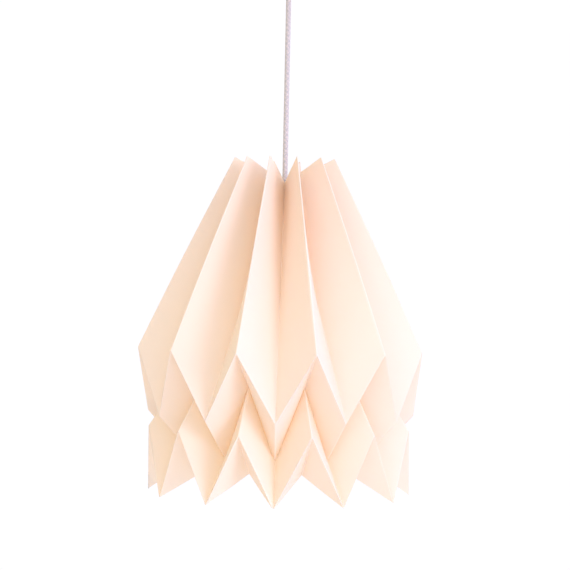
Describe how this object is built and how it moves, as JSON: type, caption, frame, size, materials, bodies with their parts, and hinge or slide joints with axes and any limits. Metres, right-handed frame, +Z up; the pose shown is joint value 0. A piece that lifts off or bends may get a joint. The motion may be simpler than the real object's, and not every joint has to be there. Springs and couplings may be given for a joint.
{
  "type": "pendant lamp",
  "caption": "Pendant lamp with a pleated folded-paper shade on a textile cord, hung from a round ceiling rose.",
  "frame": {"origin": "centre of the ceiling rose, on the ceiling plane", "axes": "+Z up along the cord and the shade's axis; -Y faces a valley fold, the front"},
  "size_m": [0.2904, 0.2904, 0.5748],
  "materials": {
    "rose_enamel": "white stove enamel, satin",
    "zinc_steel": "zinc plated",
    "screw_steel": "bright zinc plated",
    "grip_plastic": "moulded nylon, fine matt",
    "cord_textile": "braided grey textile over a round flex",
    "wire_brown": "smooth insulation",
    "wire_blue": "smooth insulation",
    "terminal_plastic": "natural nylon",
    "brass": "plain pressed brass",
    "holder_plastic": "white moulded thermoset",
    "porcelain": "unglazed white porcelain",
    "shade_paper": "pale peach uncoated card paper, folded",
    "string_cotton": "twisted cotton string in the paper's colour",
    "bulb_cap_metal": "rolled aluminium",
    "bulb_insulation": "black insulation",
    "bulb_shell": "white moulded",
    "bulb_diffuser": "opal, frosted",
    "board_white": "white solder mask",
    "chip_phosphor": "phosphor",
    "board_green": "green solder mask",
    "driver_plastic": "moulded component cases"
  },
  "bodies": {
    "ceiling_rose": {"canopy_cup": "rose_enamel", "mounting_bracket": "zinc_steel", "canopy_side_screws": "screw_steel", "canopy_cord_grip": "grip_plastic", "grip_locknut": "zinc_steel", "grip_set_screw": "grip_plastic", "cord_tail": "cord_textile", "terminal_block": "terminal_plastic", "terminal_barrels": "brass", "terminal_block_screws": "screw_steel", "block_fixing_screw": "screw_steel", "rose_conductor_live": "wire_brown", "rose_conductor_neutral": "wire_blue"},
    "cord_mouth": {"cord_bend": "cord_textile"},
    "pendant": {"textile_cord": "cord_textile", "holder_cap": "holder_plastic", "holder_clamp_body": "holder_plastic", "holder_clamp_bar": "holder_plastic", "holder_clamp_screws": "screw_steel", "holder_skirt": "holder_plastic", "contact_insert": "porcelain", "screw_shell": "brass", "centre_contact": "brass", "shell_contact": "brass", "holder_terminals": "brass", "holder_terminal_screws": "screw_steel", "holder_conductor_live": "wire_brown", "holder_conductor_neutral": "wire_blue"},
    "shade": {"shade_sheet_front": "shade_paper", "shade_sheet_back": "shade_paper", "neck_string": "string_cotton", "neck_knot": "string_cotton"},
    "bulb_base": {"bulb_screw_cap": "bulb_cap_metal", "bulb_insulator": "bulb_insulation", "bulb_tip_contact": "bulb_cap_metal"},
    "bulb": {"bulb_housing": "bulb_shell", "bulb_globe": "bulb_diffuser", "led_board": "board_white", "led_chips": "chip_phosphor", "driver_board": "board_green", "driver_parts": "driver_plastic"}
  },
  "joints": [
    {"name": "swing_fore_aft", "type": "hinge", "parent": "ceiling_rose", "child": "cord_mouth", "pos_m": [0, 0, -0.05], "axis": [1, 0, 0], "range_deg": [-25, 25]},
    {"name": "swing_sideways", "type": "hinge", "parent": "cord_mouth", "child": "pendant", "pos_m": [0, 0, -0.05], "axis": [0, 1, 0], "range_deg": [-25, 25]},
    {"name": "shade_lift", "type": "slide", "parent": "pendant", "child": "shade", "axis": [0, 0, 1], "range_m": [0, 0.12]},
    {"name": "bulb_advance", "type": "slide", "parent": "pendant", "child": "bulb_base", "axis": [0, 0, 1], "range_m": [-0.0218, 0]},
    {"name": "bulb_turn", "type": "hinge", "parent": "bulb_base", "child": "bulb", "pos_m": [0, 0, -0.345], "axis": [0, 0, 1], "range_deg": [-2160, 0]}
  ],
  "couplings": [
    {"joint": "bulb_advance", "follows": "bulb_turn", "m_per_rad": 0.00057757}
  ]
}
